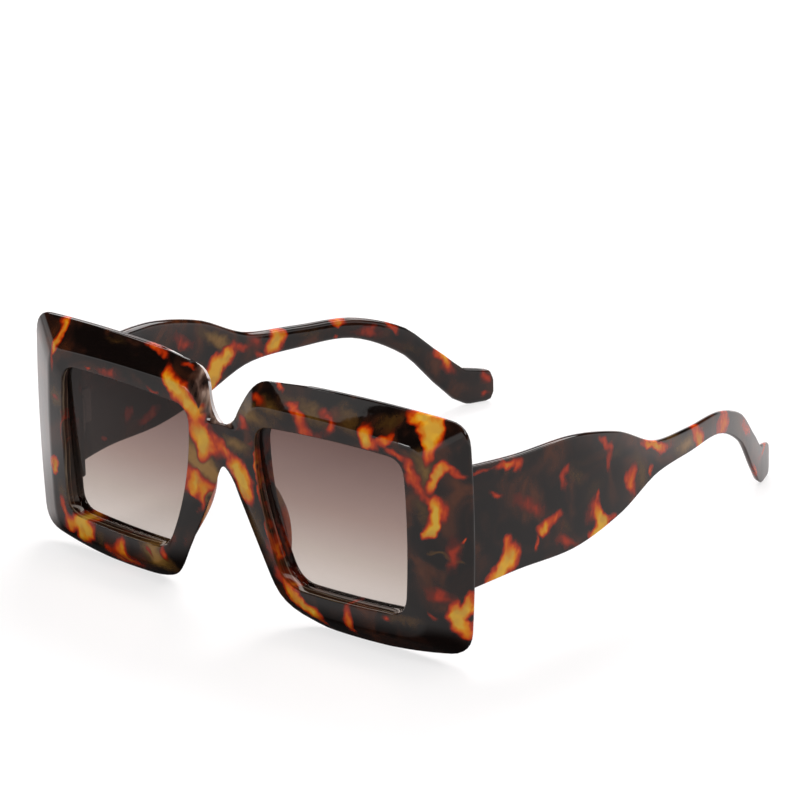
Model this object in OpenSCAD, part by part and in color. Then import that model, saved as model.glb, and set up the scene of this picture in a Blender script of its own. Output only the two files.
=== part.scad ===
// Square sunglasses: a bevelled front, two tinted lenses and two wide folding temples.
// They stand open on a table at z = 0. The front faces -Y, the temples run towards +Y,
// and X runs across the face with the wearer's left side at +X.

/* [Front] */
// Width of the front between its outer top corners
front_w = 146.3; // [142:0.1:150]
// Height of the outer top corners above the table
front_h = 62.1; // [61:0.1:65]
// Height of the outer bottom corners above the table
corner_lift = 3.3; // [2.5:0.1:4]
// Height of the inner bottom corners above the table
inner_lift = 1.2; // [0.8:0.1:1.8]
// Upward bow of each top edge
top_bow = 1.3; // [0.8:0.1:2]
// Outward bow of each side edge
side_bow = 1.2; // [0.6:0.1:1.6]
// How far the outer edges sweep back behind the middle
wrap_depth = 3.7; // [2.5:0.1:4.5]
// How far the outer bottom corners lie inside the top ones
corner_in = 0.4; // [0:0.1:1]
// Depth of the back face behind the middle of the face
edge_t = 1; // [0.9:0.1:1.4]
// How far the outer edge's front side lies ahead of the middle of the face
edge_lead = 0.5; // [0.2:0.1:0.8]
// Height of the flat ring in front of the outer edge
ring_rise = 5.4; // [4.8:0.1:6]
// Length over which an outer corner is rounded
outer_turn = 5.5; // [3:0.5:7]
// Length over which the inner bottom corner is rounded
inner_turn = 9.5; // [7:0.5:10]

/* [Openings] */
// Gap between the two lens openings at their top
openings_gap = 22.8; // [22:0.2:24]
// Width of a lens opening at its top
opening_w = 46.3; // [44:0.2:47]
// Height of the opening's top corners above the table
opening_top = 51.4; // [50:0.2:52.4]
// Height of the opening's bottom corners above the table
opening_bottom = 11.2; // [10.6:0.2:13]
// How far the nose side of an opening moves out towards the bottom
nose_slant = 9.5; // [8:0.5:10.5]
// Bow of the nose side of an opening
nose_bow = 2.9; // [2:0.1:3.2]
// Bow of the other sides of an opening
opening_bow = 0.9; // [0.4:0.1:1.3]
// Length over which an opening's corner is rounded
opening_turn = 4.6; // [3:0.2:6]

/* [Ring and bevels] */
// Width of the flat ring beside an opening
ring_side_w = 5.5; // [4:0.1:6]
// Width of the flat ring above an opening
ring_top_w = 3.6; // [3:0.1:4.2]
// Width of the flat ring below an opening
ring_bottom_w = 5.7; // [5:0.1:6]
// Bow of the line where ring and bevel meet
ring_bow = 1.1; // [0.5:0.1:1.5]
// Width of the narrow bevel beside the nose
nose_bevel_w = 3.3; // [2.6:0.1:3.6]

/* [Bridge] */
// Height of the bottom of the notch above the bridge
notch_floor = 48.9; // [47.5:0.1:50]
// Width of the notch at its floor
notch_floor_w = 5.2; // [4:0.2:6]
// Width of the notch at its top
notch_w = 16.6; // [15:0.2:18]
// Height of the top of the nose arch
arch_top = 37.7; // [35:0.1:38.4]
// Height where the nose arch turns into the nose sides
arch_foot = 31.2; // [30:0.1:32]
// Width of the nose arch at that height
arch_w = 8; // [7:0.2:9]
// Width between the inner bottom corners
nose_gap = 38.8; // [37:0.2:40]
// How far the nose edge stands in front of the outer edge
nose_edge_rise = 4.2; // [3.4:0.1:4.4]
// How far the nose side widens from front to back
nose_flare = 3.7; // [2.8:0.1:4]

/* [Nose pads] */
// How far a nose pad stands behind the front's back face
pad_rise = 3.5; // [2:0.1:4]
// Half the width of a nose pad
pad_half_w = 1.9; // [1.5:0.1:2.3]
// Height of a nose pad's top above the table
pad_top = 38; // [35:0.2:39]
// Height of a nose pad's bottom above the table
pad_bottom = 13.4; // [11:0.2:15]
// Distance of a nose pad's top from the middle of the face
pad_top_x = 7.8; // [7:0.2:9]
// Distance of a nose pad's bottom from the middle of the face
pad_bottom_x = 16.6; // [16:0.2:18]
// Outward bow of a nose pad
pad_bow = 0.3; // [0:0.1:0.8]
// Thickness of the glue between a nose pad and the front
glue_t = 0.04; // [0.03:0.01:0.08]

/* [Lenses] */
// Thickness of a lens
lens_t = 2; // [1.6:0.1:2.2]
// Depth of a lens's front face behind the ring, at the bottom of the opening
lens_depth = 3.6; // [3:0.1:3.8]
// How much further forward a lens stands at the top of the opening
lens_lean = 2; // [0:0.1:2.4]
// Depth of the groove that holds a lens
groove_depth = 0.8; // [0.6:0.05:0.9]
// Gap between a lens and its groove
lens_gap = 0.1; // [0.06:0.01:0.15]

/* [Temples] */
// Outside width over the temples at their widest
temple_spread = 147; // [146:0.5:148.5]
// Length of a temple from its front end to the back of its foot
temple_len = 150; // [145:1:155]
// Height of a temple's top edge at the front end
temple_top = 49.8; // [49:0.1:51]
// How far the tip bends in from the widest place
tip_inset = 23.9; // [21:0.1:25]
// Thickness of a temple at the front
temple_t = 2.8; // [2.6:0.1:3.2]
// Thickness of a temple at its tip
tip_t = 1.9; // [1.7:0.1:2.4]
// Length of the foot at the tip
foot_len = 8.2; // [7.6:0.1:9]
// Height of the foot at the tip
foot_h = 11; // [10:0.1:12]

/* [End pieces] */
// Distance of the end piece's back face behind the middle of the outer edge
butt_y = 6.2; // [5.8:0.1:6.8]
// Width of an end piece
lug_w = 9; // [8.4:0.1:9.2]
// Gap between an end piece and the temple's front end
butt_gap = 0.15; // [0.1:0.05:0.3]
// Rounding of an end piece's corners
lug_r = 1.2; // [0.6:0.1:1.6]

/* [Hinges] */
// Outer radius of a knuckle
knuckle_r = 1.8; // [1.6:0.1:1.9]
// Number of knuckles of a hinge
knuckle_count = 5; // [3:2:7]
// Height of one knuckle
knuckle_h = 1.8; // [1.4:0.1:2]
// Gap between two knuckles
knuckle_gap = 0.08; // [0.05:0.01:0.15]
// Thickness of a hinge leaf
leaf_t = 1; // [0.8:0.1:1.1]
// How far a leaf stands proud of the plastic
leaf_proud = 0.5; // [0.3:0.1:0.6]
// Length of the temple's leaf
temple_leaf_len = 8; // [7:0.5:10]
// Length of the front's leaf
front_leaf_len = 4; // [3.4:0.1:4.2]
// Radius of the studs that anchor a leaf
stud_r = 0.8; // [0.6:0.05:0.9]
// Length of the studs in the front
front_stud_len = 3; // [2:0.1:3.4]
// Length of the studs in a temple
temple_stud_len = 0.9; // [0.6:0.1:1]
// Gap round a leaf and its studs
leaf_gap = 0.05; // [0.03:0.01:0.1]

/* [Screws] */
// Radius of a hinge screw's shank
screw_r = 0.7; // [0.6:0.05:0.8]
// Radius of a hinge screw's head
head_r = 1.3; // [1.1:0.05:1.4]
// Height of a hinge screw's head
head_h = 0.6; // [0.5:0.05:0.8]
// Running gap between a screw and the knuckles
pin_gap = 0.04; // [0.02:0.01:0.08]

/* [Hidden] */
$fn = 48;

front_half = front_w / 2;
inner_top_lift = 0.4;         // the top edge's inner end lies this much below its outer end
opening_rise = 0.4;           // the opening's outer corners lie this much higher than the inner ones
ring_drop = 0.3;              // the ring's outer line lies this much behind its inner line
edge_soft = 0.35;             // softening of the thin outer edge
wall_soft = 0.45;             // softening of the opening's front and back edges
rest_flat = 0.12;             // how far the bottom edge is flattened where it rests
overrun = 1;                  // length by which a cut runs past a surface
half_turn = 180;

// Shares that shape the bridge and its notch
wall_foot_share = 0.75;       // where the notch's side starts, as a part of the notch's floor
arch_turn_share = 0.19;       // where the nose arch turns, as a part of its width
valley_turn_share = 2.2;      // where the ridge turns up beside the notch, as a part of its middle
ridge_wall_shares = [0.95, -0.4];
fade_from_share = 0.68;       // where the bridge starts to come forward, as a part of the nose gap
wall_fade_share = 0.7;        // how much of that is gone again at the notch's top
bridge_back_share = 0.62;     // height of the bridge's back as a part of its front

// Shares that place the stations along a curve
ridge_soft_share = 0.08;
ridge_back_share = 0.056;
ridge_ring_share = 0.12;
ring_turn_share = 0.2;
bridge_front_shares = [0, 0.07, 0.18, 0.5, 0.82, 0.93];
opening_share_marks = [0, 0.52, 0.66, 0.87, 0.93, 1];
lens_ring_shares = [0.45, 0.8];

// Numbers of stations along each stretch of an outline
n_top = 14;
n_turn = 6;
n_side = 9;
n_bottom = 14;
n_inner = 7;
n_nose = 12;
n_arch = 5;
n_mid = 6;
n_valley = 4;
n_wall = 6;
nose_counts = [n_nose, n_arch, n_mid, n_valley, n_wall];

// Curves in the front's own plane, as [x, z]. Each stretch leaves out its last point.
function left_of(v) = [-v.y, v.x];
function bowed(a, b, bow, t) = a + (b - a) * t + left_of(b - a) / norm(b - a) * bow * 4 * t * (1 - t);
function share_at(a, b, set, t_end) = t_end ? 1 - set / norm(b - a) : set / norm(b - a);
function run(a, b, bow, set_a, set_b, n) =
    let (s = share_at(a, b, set_a, false), e = share_at(a, b, set_b, true))
    [for (i = [0:n - 1]) bowed(a, b, bow, s + (e - s) * i / n)];
function run_end(a, b, bow, set_b) = bowed(a, b, bow, share_at(a, b, set_b, true));
function run_start(a, b, bow, set_a) = bowed(a, b, bow, share_at(a, b, set_a, false));
function turn(a, c, b, n) =
    [for (i = [0:n - 1]) let (t = i / n) a * (1 - t) * (1 - t) + c * 2 * t * (1 - t) + b * t * t];

// Loop of an outline with its bridge: corners in order inner top, outer top, outer bottom,
// inner bottom, then the arch foot, the middle's two ends and the notch wall's foot
function bridge_loop(it, ot, ob, ib, foot, arch_c, mid_a, mid_b, valley_c, wall, bows, turns) =
    concat(
        run(it, ot, bows[0], turns[3], turns[0], n_top),
        turn(run_end(it, ot, bows[0], turns[0]), ot, run_start(ot, ob, bows[1], turns[0]), n_turn),
        run(ot, ob, bows[1], turns[0], turns[1], n_side),
        turn(run_end(ot, ob, bows[1], turns[1]), ob, run_start(ob, ib, bows[2], turns[1]), n_turn),
        run(ob, ib, bows[2], turns[1], turns[2], n_bottom),
        turn(run_end(ob, ib, bows[2], turns[2]), ib, run_start(ib, foot, 0, turns[2]), n_inner),
        run(ib, foot, 0, turns[2], 0, n_nose),
        turn(foot, arch_c, mid_a, n_arch),
        [for (s = bridge_front_shares) mid_a + (mid_b - mid_a) * s],
        turn(mid_b, valley_c, wall, n_valley),
        run(wall, it, 0, 0, turns[3], n_wall),
        turn(run_end(wall, it, 0, turns[3]), it, run_start(it, ot, bows[0], turns[3]), n_turn)
    );

// Stations where the bridge's middle line starts and ends
mid_first = n_top + 2 * n_turn + n_side + n_bottom + n_inner + n_nose + n_arch;
mid_last = mid_first + n_mid;

// Outer edge
edge_it = [notch_w / 2, front_h - inner_top_lift];
edge_ot = [front_half, front_h];
edge_ob = [front_half - corner_in, corner_lift];
edge_ib = [nose_gap / 2, inner_lift];
edge_foot = [arch_w / 2, arch_foot];
edge_wall = [notch_floor_w * wall_foot_share, notch_floor + notch_floor_w / 2];
bottom_bow = (corner_lift + inner_lift) / 2 + rest_flat;
edge_loop = bridge_loop(edge_it, edge_ot, edge_ob, edge_ib, edge_foot,
    [arch_w * arch_turn_share, arch_top], [0, arch_top], [0, notch_floor],
    [notch_floor_w / 2, notch_floor], edge_wall,
    [top_bow, side_bow, bottom_bow], [outer_turn, outer_turn, inner_turn, outer_turn]);

// Lens opening, with its inner side divided to match the bridge
open_it = [openings_gap / 2, opening_top - opening_rise];
open_ot = [openings_gap / 2 + opening_w, opening_top + opening_rise];
open_ob = [openings_gap / 2 + opening_w, opening_bottom + opening_rise];
open_ib = [openings_gap / 2 + nose_slant, opening_bottom - opening_rise];
nose_marks = [for (k = [0:len(nose_counts) - 1]) for (i = [0:nose_counts[k] - 1])
    opening_share_marks[k] + (opening_share_marks[k + 1] - opening_share_marks[k]) * i / nose_counts[k]];
open_s = share_at(open_ib, open_it, opening_turn, false);
open_e = share_at(open_ib, open_it, opening_turn, true);
open_loop = concat(
    run(open_it, open_ot, opening_bow, opening_turn, opening_turn, n_top),
    turn(run_end(open_it, open_ot, opening_bow, opening_turn), open_ot,
         run_start(open_ot, open_ob, opening_bow, opening_turn), n_turn),
    run(open_ot, open_ob, opening_bow, opening_turn, opening_turn, n_side),
    turn(run_end(open_ot, open_ob, opening_bow, opening_turn), open_ob,
         run_start(open_ob, open_ib, opening_bow / 2, opening_turn), n_turn),
    run(open_ob, open_ib, opening_bow / 2, opening_turn, opening_turn, n_bottom),
    turn(run_end(open_ob, open_ib, opening_bow / 2, opening_turn), open_ib,
         run_start(open_ib, open_it, nose_bow, opening_turn), n_inner),
    [for (t = nose_marks) bowed(open_ib, open_it, nose_bow, open_s + (open_e - open_s) * t)],
    turn(run_end(open_ib, open_it, nose_bow, opening_turn), open_it,
         run_start(open_it, open_ot, opening_bow, opening_turn), n_turn));

// Line where the flat ring meets the bevels
nose_dir = (edge_foot - edge_ib) / norm(edge_foot - edge_ib);
nose_in = -left_of(nose_dir) * nose_bevel_w;
ridge_floor = open_ib.y - ring_bottom_w;
ridge_ib = [edge_ib.x + nose_in.x + (edge_ib.y + nose_in.y - ridge_floor) * nose_dir.x / nose_dir.y,
            ridge_floor];
ridge_mid_x = notch_floor_w / 2;
ridge_it = [edge_it.x + nose_bevel_w / 2, open_it.y + ring_top_w + ring_top_w / 2];
ridge_ot = [open_ot.x + ring_side_w, open_ot.y + ring_top_w];
ridge_ob = [open_ob.x + ring_side_w, open_ob.y - ring_bottom_w];
ridge_wall = edge_wall + ridge_wall_shares * nose_bevel_w;
ridge_foot = edge_foot + [nose_in.x, nose_in.y / 2];
ridge_loop = bridge_loop(ridge_it, ridge_ot, ridge_ob, ridge_ib, ridge_foot,
    [ridge_mid_x + nose_bevel_w / 2, arch_top + nose_bevel_w / 2],
    [ridge_mid_x, arch_top + nose_bevel_w / 2], [ridge_mid_x, notch_floor - nose_bevel_w / 5],
    [ridge_mid_x * valley_turn_share, notch_floor - nose_bevel_w / 4], ridge_wall,
    [ring_bow, ring_bow, ring_bow / 2], [outer_turn, outer_turn, outer_turn, outer_turn]);

// Inward normal of a loop at a station
stations = len(edge_loop);
function along(loop, i) = i == mid_first ? [-1, 0] : i == mid_last ? [1, 0]
    : loop[(i + 1) % stations] - loop[(i + stations - 1) % stations];
function inward(loop, i) = let (v = along(loop, i)) -left_of(v) / norm(v);
function closed_along(loop, i) = loop[(i + 1) % stations] - loop[(i + stations - 1) % stations];
function outward(loop, i) = let (v = closed_along(loop, i)) left_of(v) / norm(v);

// How much a station belongs to the nose and bridge: 0 on the outer part, 1 at the nose
function ease(t) = let (c = min(1, max(0, t))) c * c * (3 - 2 * c);
fade_from = nose_gap * fade_from_share;
fade_w = nose_gap / 3;
function nose_part(p) = ease((fade_from - p.x) / fade_w)
    * (1 - wall_fade_share * ease((p.y - edge_wall.y) / (front_h - edge_wall.y)));

// Depth of the outer edge's front side: it comes forward at the nose and most of all on the bridge
bridge_rise = ring_rise - edge_soft - nose_edge_rise;
bridge_mid = (arch_top + notch_floor) / 2;
function edge_depth(p) = let (w = nose_part(p))
    -w * (nose_edge_rise + bridge_rise * ease(1 - 2 * p.x / arch_w)) - (1 - w) * edge_lead;

// The front's surfaces follow one shallow curve across the face
function wrap(x) = wrap_depth * x * x / (front_half * front_half);
function on_front(p, y) = [p.x, y + wrap(p.x), p.y];
function lens_y(z) = -ring_rise + lens_depth + lens_t / 2
    - lens_lean * (z - opening_bottom) / (opening_top - opening_bottom);
groove_half = groove_depth;
function is_mid(i) = i > mid_first && i < mid_last;

// One section of the front at a station, from the back's outer side round to the opening's back
function section(i) =
    let (e = edge_loop[i], k = ridge_loop[i], o = open_loop[i],
         n = inward(edge_loop, i) * (is_mid(i) ? 0 : 1), out = outward(open_loop, i),
         w = nose_part(e), edge_y = edge_depth(e),
         b = is_mid(i) || i == mid_first || i == mid_last
             ? [0, bridge_mid + (e.y - bridge_mid) * bridge_back_share]
             : e + n * nose_flare * w,
         front_y = edge_y + edge_soft / 4,
         ridge_y = -ring_rise + ring_drop)
    [
        on_front(b + n * edge_soft, edge_t),
        on_front(b, edge_t - edge_soft),
        on_front(e, edge_y + edge_t / 2),
        on_front(e + n * edge_soft, front_y),
        on_front(k + (e - k) * ridge_soft_share, ridge_y + (front_y - ridge_y) * ridge_back_share),
        on_front(k + (o - k) * ridge_ring_share, ridge_y - ring_drop * ring_turn_share),
        on_front(o + out * wall_soft, -ring_rise),
        on_front(o, -ring_rise + wall_soft),
        on_front(o, lens_y(o.y) - groove_half),
        on_front(o + out * groove_depth, lens_y(o.y)),
        on_front(o, lens_y(o.y) + groove_half),
        on_front(o, edge_t - wall_soft),
        on_front(o + out * wall_soft, edge_t)
    ];
sections = [for (i = [0:stations - 1]) section(i)];
rings = len(sections[0]);
edge_rings = 3;    // the rings 0 to 3 meet their mirror image on the bridge's middle line
half_count = stations * rings;

function flip(p) = [-p.x, p.y, p.z];
function on_middle(i, j) = i >= mid_first && i <= mid_last && j <= edge_rings;
function spot(side, i, j) =
    let (ii = i % stations, jj = j % rings)
    (side == 0 || on_middle(ii, jj) ? 0 : half_count) + ii * rings + jj;
function in_cut(i, j) = i >= mid_first && i < mid_last && j < edge_rings;

front_points = concat(
    [for (s = sections) for (p = s) p],
    [for (s = sections) for (p = s) flip(p)]);
front_faces = [for (side = [0, 1]) for (i = [0:stations - 1]) for (j = [0:rings - 1])
    if (!in_cut(i, j))
        for (f = [[[0, 0], [1, 0], [1, 1]], [[0, 0], [1, 1], [0, 1]]])
            let (v = [for (q = f) spot(side, i + q[0], j + q[1])])
            side == 0 ? v : [v[2], v[1], v[0]]];

// Temple: its outer face in plan and its upper and lower edges in side view.
// The shares give length along the temple and height as a part of temple_top.
upper_shares = [[0, 1], [0.115, 0.979], [0.252, 0.968], [0.374, 0.883], [0.48, 0.735],
                [0.602, 0.689], [0.724, 0.654], [0.83, 0.532], [0.9215, 0.297]];
lower_shares = [[0, 0.357], [0.115, 0.38], [0.252, 0.376], [0.374, 0.445], [0.48, 0.552],
                [0.602, 0.559], [0.724, 0.534], [0.83, 0.368], [0.9215, 0.075]];
widest_share = 0.29;
temple_front = butt_y + butt_gap;
temple_back = temple_front + temple_len;
widest_y = temple_front + temple_len * widest_share;
function outer_x(y) = temple_spread / 2
    - tip_inset * pow((y - widest_y) / (temple_back - widest_y), 2);
function thick(y) = temple_t + (tip_t - temple_t) * ease((y - widest_y) / (temple_back - widest_y));
foot_start = temple_back - foot_len;
toe_share = 0.06;             // height of the foot's front corner as a part of the foot's height

// Smooth curve through knots, one stretch at a time
function tangent(k, i) = i == 0 ? k[1] - k[0] : i == len(k) - 1 ? k[i] - k[i - 1]
    : (k[i + 1] - k[i - 1]) / 2;
function hermite(k, i, t) = k[i] * (2 * t * t * t - 3 * t * t + 1)
    + tangent(k, i) * (t * t * t - 2 * t * t + t)
    + k[i + 1] * (3 * t * t - 2 * t * t * t) + tangent(k, i + 1) * (t * t * t - t * t);
function find(k, y, i = 0) = i >= len(k) - 2 || y < k[i + 1].x ? i : find(k, y, i + 1);
function height_at(k, y) = let (i = find(k, y), t = (y - k[i].x) / (k[i + 1].x - k[i].x)) hermite(k, i, t).y;
function knots(shares, last) = concat(
    [for (s = shares) [temple_front + temple_len * s[0], temple_top * s[1]]], [last]);
upper_knots = knots(upper_shares, [foot_start, foot_h]);
lower_knots = knots(lower_shares, [foot_start, foot_h * toe_share]);

// Stations of the foot: share of its length, share of its height taken off at the top and bottom
foot_shares = [[0.04, 0, 0.04], [0.12, 0.01, 0.015], [0.25, 0.03, 0], [0.5, 0.07, 0], [0.8, 0.13, 0],
               [0.93, 0.18, 0.03], [1, 0.32, 0.15]];
n_temple = 50;
temple_stations = concat(
    [for (i = [0:n_temple]) let (y = temple_front + (foot_start - temple_front) * i / n_temple)
        [y, max(0, height_at(lower_knots, y)), height_at(upper_knots, y)]],
    [for (s = foot_shares) [foot_start + foot_len * s[0], foot_h * s[2], foot_h * (1 - s[1])]]);

// Ring of a temple section: share of the thickness from outside, share of the rounding there,
// and lower or upper edge. The inner edges are rounded more, as they lie against the head.
temple_soft = 0.5;            // rounding of a temple's outer edges
temple_inner_soft = 1.2;      // rounding of a temple's inner edges
ring_shares = [[0.2, 0, 0], [0.55, 0, 0], [0.84, 0.3, 0], [1, 1, 0],
               [1, 1, 1], [0.84, 0.3, 1], [0.55, 0, 1], [0.2, 0, 1], [0, 1, 1], [0, 1, 0]];
function softening(q) = q[1] * (q[0] == 0 ? temple_soft : temple_inner_soft);
function temple_point(s, q) = [outer_x(s[0]) - thick(s[0]) * q[0], s[0],
    q[2] == 0 ? s[1] + softening(q) : s[2] - softening(q)];
temple_points = [for (s = temple_stations) for (q = ring_shares) temple_point(s, q)];
temple_last = len(temple_stations) - 1;
ring_n = len(ring_shares);
temple_faces = concat(
    [for (i = [0:temple_last - 1]) for (j = [0:ring_n - 1])
        for (f = [[[0, 0], [1, 0], [1, 1]], [[0, 0], [1, 1], [0, 1]]])
            [for (q = f) (i + q[0]) * ring_n + (j + q[1]) % ring_n]],
    [[for (j = [0:ring_n - 1]) j]],
    [[for (j = [0:ring_n - 1]) temple_last * ring_n + ring_n - 1 - j]]);

// Hinge: its pin stands beside the temple's inner face and behind the end piece
hinge_z = temple_top * (1 + lower_shares[0][1]) / 2;
hinge_h = knuckle_count * knuckle_h + (knuckle_count - 1) * knuckle_gap;
knuckle_step = knuckle_h + knuckle_gap;
hinge_floor = hinge_z - hinge_h / 2;
pin_y = butt_y + leaf_proud + knuckle_r;
temple_tilt = atan((outer_x(pin_y + temple_leaf_len) - outer_x(pin_y)) / temple_leaf_len);
pin_x = outer_x(pin_y) - temple_t - leaf_proud - knuckle_r;
lug_root = (open_ot.x + front_half) / 2;
lug_outer = max(lug_root, outer_x(butt_y));
lug_inner = min(lug_root, outer_x(butt_y) - lug_w);
lug_top = temple_top;
lug_floor = temple_top * lower_shares[0][1];
lug_front = wrap(max(lug_inner, open_ot.x + groove_depth)) + edge_t / 2;

// The row's origin lies on the table below the middle of the whole pair
centre_y = (temple_back - ring_rise) / 2;

module placed() {
    translate([0, -centre_y, 0]) children();
}

module left_to_right(side) {
    if (side == "left") children();
    else mirror([1, 0, 0]) children();
}

// Lens: its rim is a blunt V that sits in the groove
function lens_loop(d) = [for (i = [0:stations - 1]) open_loop[i] + outward(open_loop, i) * d];
lens_rim = lens_loop(-lens_gap);
lens_apex = lens_loop(groove_depth - lens_gap);
lens_centre = [openings_gap / 2 + (opening_w + nose_slant / 2) / 2, (opening_top + opening_bottom) / 2];
lens_half = lens_t / 2;
lens_land = groove_half - lens_gap;
function on_lens(p, y) = on_front(p, lens_y(p.y) + y);
function lens_ring(share, y) = [for (p = lens_rim) on_lens(lens_centre + (p - lens_centre) * share, y)];
lens_layers = concat(
    [for (s = lens_ring_shares) lens_ring(s, -lens_half)],
    [lens_ring(1, -lens_half), lens_ring(1, -lens_land)],
    [[for (p = lens_apex) on_lens(p, 0)]],
    [lens_ring(1, lens_land), lens_ring(1, lens_half)],
    [for (k = [len(lens_ring_shares) - 1:-1:0]) lens_ring(lens_ring_shares[k], lens_half)]);
layer_n = len(lens_layers);
lens_points = concat([for (l = lens_layers) for (p = l) p],
    [on_lens(lens_centre, -lens_half), on_lens(lens_centre, lens_half)]);
front_pole = layer_n * stations;
back_pole = front_pole + 1;
lens_faces = concat(
    [for (i = [0:stations - 1]) [front_pole, i, (i + 1) % stations]],
    [for (l = [0:layer_n - 2]) for (i = [0:stations - 1])
        for (f = [[[0, 0], [1, 0], [1, 1]], [[0, 0], [1, 1], [0, 1]]])
            [for (q = f) (l + q[0]) * stations + (i + q[1]) % stations]],
    [for (i = [0:stations - 1]) [back_pole, (layer_n - 1) * stations + (i + 1) % stations,
                                 (layer_n - 1) * stations + i]]);

module lens(side) {
    color([0.45, 0.38, 0.36, 0.7]) placed() left_to_right(side)
        polyhedron(lens_points, lens_faces, convexity = 4);
}

// Nose pad: a dome along a slanted line on the front's back face
pad_steps = 20;
pad_arc = 12;
pad_head = [pad_top_x, pad_top];
pad_toe = [pad_bottom_x, pad_bottom];
pad_len = norm(pad_head - pad_toe);
pad_dir = (pad_head - pad_toe) / pad_len;
pad_side = [pad_dir.y, -pad_dir.x];
function pad_spot(a, b) =
    let (swell = sin(a), p = (pad_head + pad_toe) / 2 - pad_dir * pad_len / 2 * cos(a)
            + pad_side * (pad_half_w * cos(b) + pad_bow) * swell * swell)
        on_front(p, edge_t + glue_t + pad_rise * sin(b) * swell * swell * swell);
pad_rows = [for (k = [1:pad_steps - 1]) let (a = half_turn * (k + 1) / (pad_steps + 2))
    [for (j = [0:pad_arc]) pad_spot(a, half_turn * j / pad_arc)]];
pad_n = pad_arc + 1;
pad_points = concat([for (r = pad_rows) for (p = r) p],
    [on_front(pad_toe, edge_t + glue_t), on_front(pad_head, edge_t + glue_t)]);
pad_first = (pad_steps - 1) * pad_n;
pad_last = pad_first + 1;
pad_end_row = (pad_steps - 2) * pad_n;
pad_faces = concat(
    [for (k = [0:pad_steps - 3]) for (j = [0:pad_n - 1])
        for (f = [[[0, 0], [1, 0], [1, 1]], [[0, 0], [1, 1], [0, 1]]])
            [for (q = f) (k + q[0]) * pad_n + (j + q[1]) % pad_n]],
    [for (j = [0:pad_n - 1]) [pad_first, j, (j + 1) % pad_n]],
    [for (j = [0:pad_n - 1]) [pad_last, pad_end_row + (j + 1) % pad_n, pad_end_row + j]]);

module nose_pad(side) {
    color("burlywood") placed() left_to_right(side) polyhedron(pad_points, pad_faces, convexity = 2);
}

module end_piece() {
    translate([lug_inner, butt_y, lug_floor]) rotate([90, 0, 0])
        linear_extrude(butt_y - lug_front) rounded_plate(lug_outer - lug_inner, lug_top - lug_floor, lug_r);
}

module rounded_plate(w, h, r) {
    difference() {
        square([w, h]);
        for (x = [0, w], z = [0, h])
            translate([x == 0 ? 0 : w - r, z == 0 ? 0 : h - r]) square([r, r]);
    }
    for (x = [r, w - r], z = [r, h - r]) translate([x, z]) circle(r);
}

// Leaf of the front: a plate on the end piece's back face with two studs
module front_leaf(gap) {
    translate([pin_x - front_leaf_len - gap, butt_y - (leaf_t - leaf_proud) - gap, hinge_floor - gap])
        cube([front_leaf_len + knuckle_r + 2 * gap, leaf_t + gap, hinge_h + 2 * gap]);
    for (z = [knuckle_step / 2 + knuckle_h / 2, hinge_h - knuckle_step / 2 - knuckle_h / 2])
        translate([pin_x - front_leaf_len / 2, butt_y, hinge_floor + z]) rotate([90, 0, 0])
            cylinder(h = front_stud_len + gap, r = stud_r + gap);
}

// Leaf of a temple: a plate on the inner face with two studs
stud_shares = [0.45, 0.82];
module temple_leaf(gap) {
    translate([outer_x(pin_y) - temple_t, pin_y, hinge_floor]) rotate([0, 0, -temple_tilt]) {
        translate([-leaf_proud, 0, -gap])
            cube([leaf_t + gap, temple_leaf_len + gap, hinge_h + 2 * gap]);
        for (share = stud_shares)
            translate([0, temple_leaf_len * share, hinge_h / 2]) rotate([0, 90, 0])
                cylinder(h = leaf_t - leaf_proud + temple_stud_len + gap, r = stud_r + gap);
    }
}

module knuckles(first) {
    for (k = [first:2:knuckle_count - 1])
        translate([pin_x, pin_y, hinge_floor + k * knuckle_step]) cylinder(h = knuckle_h, r = knuckle_r);
}

// Webs that join the knuckles to their leaf
module webs(first, to_front) {
    for (k = [first:2:knuckle_count - 1])
        translate([pin_x, pin_y, hinge_floor + k * knuckle_step])
            if (to_front)
                translate([-knuckle_r, -knuckle_r, 0]) cube([knuckle_r, knuckle_r, knuckle_h]);
            else
                cube([knuckle_r + leaf_t - leaf_proud, knuckle_r, knuckle_h]);
}

module pin_bore() {
    translate([pin_x, pin_y, hinge_floor - overrun])
        cylinder(h = hinge_h + 2 * overrun, r = screw_r + pin_gap);
}

// Room for the other leaf's knuckles
module knuckle_room(first) {
    for (k = [first:2:knuckle_count - 1])
        translate([pin_x, pin_y, hinge_floor + k * knuckle_step - knuckle_gap])
            cylinder(h = knuckle_h + 2 * knuckle_gap, r = knuckle_r + knuckle_gap);
}

module front_hinge(side) {
    color("darkgoldenrod") placed() left_to_right(side) difference() {
        union() {
            difference() {
                front_leaf(0);
                knuckle_room(1);
            }
            knuckles(0);
            webs(0, true);
        }
        pin_bore();
    }
}

module temple_hinge(side) {
    color("goldenrod") placed() left_to_right(side) difference() {
        union() {
            difference() {
                temple_leaf(0);
                knuckle_room(0);
            }
            knuckles(1);
            webs(1, false);
        }
        pin_bore();
    }
}

module hinge_screw(side) {
    slot_w = head_r / 3;
    color("silver") placed() left_to_right(side) translate([pin_x, pin_y, hinge_floor]) {
        cylinder(h = hinge_h, r = screw_r);
        translate([0, 0, hinge_h]) difference() {
            cylinder(h = head_h, r = head_r);
            translate([-head_r, -slot_w / 2, head_h / 2]) cube([2 * head_r, slot_w, head_h]);
        }
    }
}

module front_frame() {
    color("saddlebrown") placed() difference() {
        union() {
            polyhedron(front_points, front_faces, convexity = 8);
            for (side = ["left", "right"]) left_to_right(side) end_piece();
        }
        translate([-front_w, -front_w / 2, -overrun]) cube([2 * front_w, front_w, overrun]);
        for (side = ["left", "right"]) left_to_right(side) front_leaf(leaf_gap);
    }
}

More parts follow.
